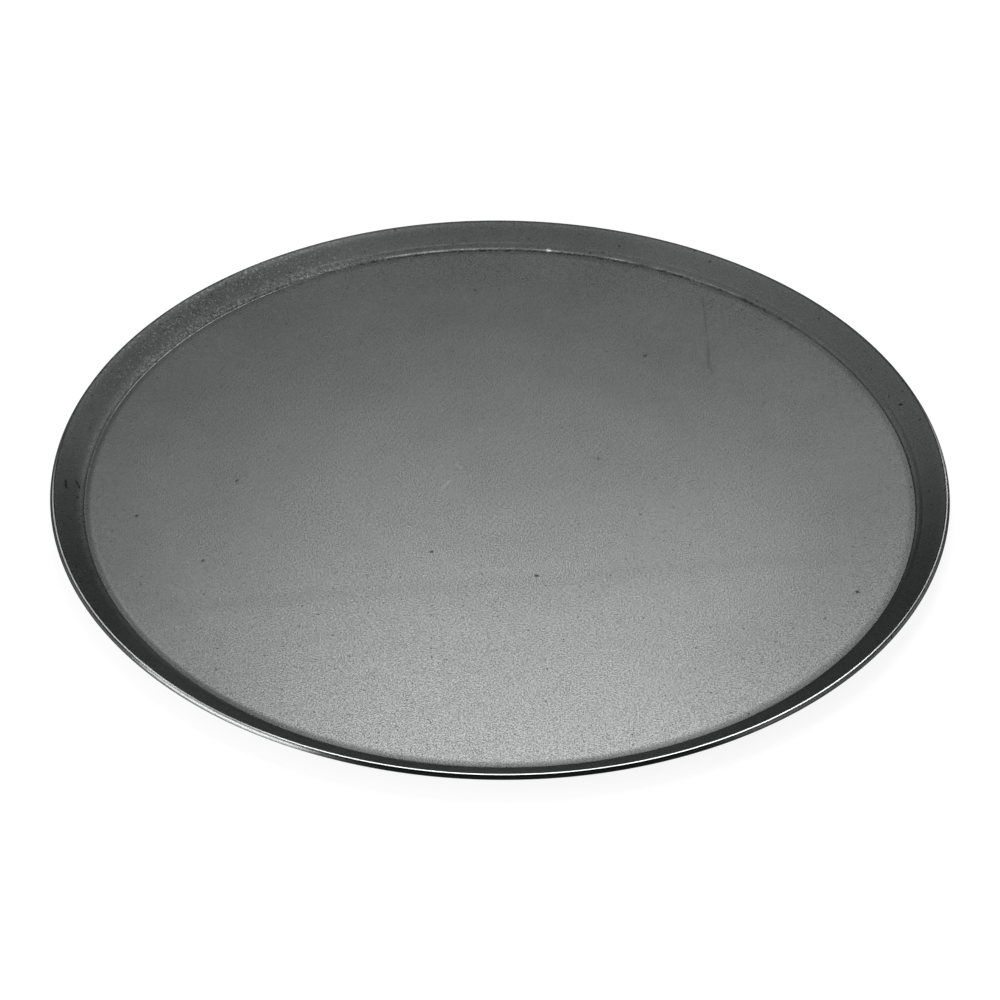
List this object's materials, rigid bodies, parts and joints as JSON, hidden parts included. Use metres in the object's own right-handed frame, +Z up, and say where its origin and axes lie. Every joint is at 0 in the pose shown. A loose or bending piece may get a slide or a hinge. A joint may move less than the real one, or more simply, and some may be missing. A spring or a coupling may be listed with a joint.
{
  "type": "pizza pan",
  "caption": "Flat round pizza pan pressed from one dark anodised aluminium sheet, with a low flared rim and a plain cut edge.",
  "frame": {"origin": "centre of the flat underside, in the plane that the pan stands on", "axes": "+Z up along the pan's axis, from the underside through the floor; X and Y lie in the plane of the base"},
  "size_m": [0.254, 0.254, 0.0066],
  "materials": {
    "dark_anodised": "matte dark grey hard-anodised aluminium with a fine grain"
  },
  "bodies": {
    "root": {"pan": "dark_anodised"}
  },
  "joints": []
}
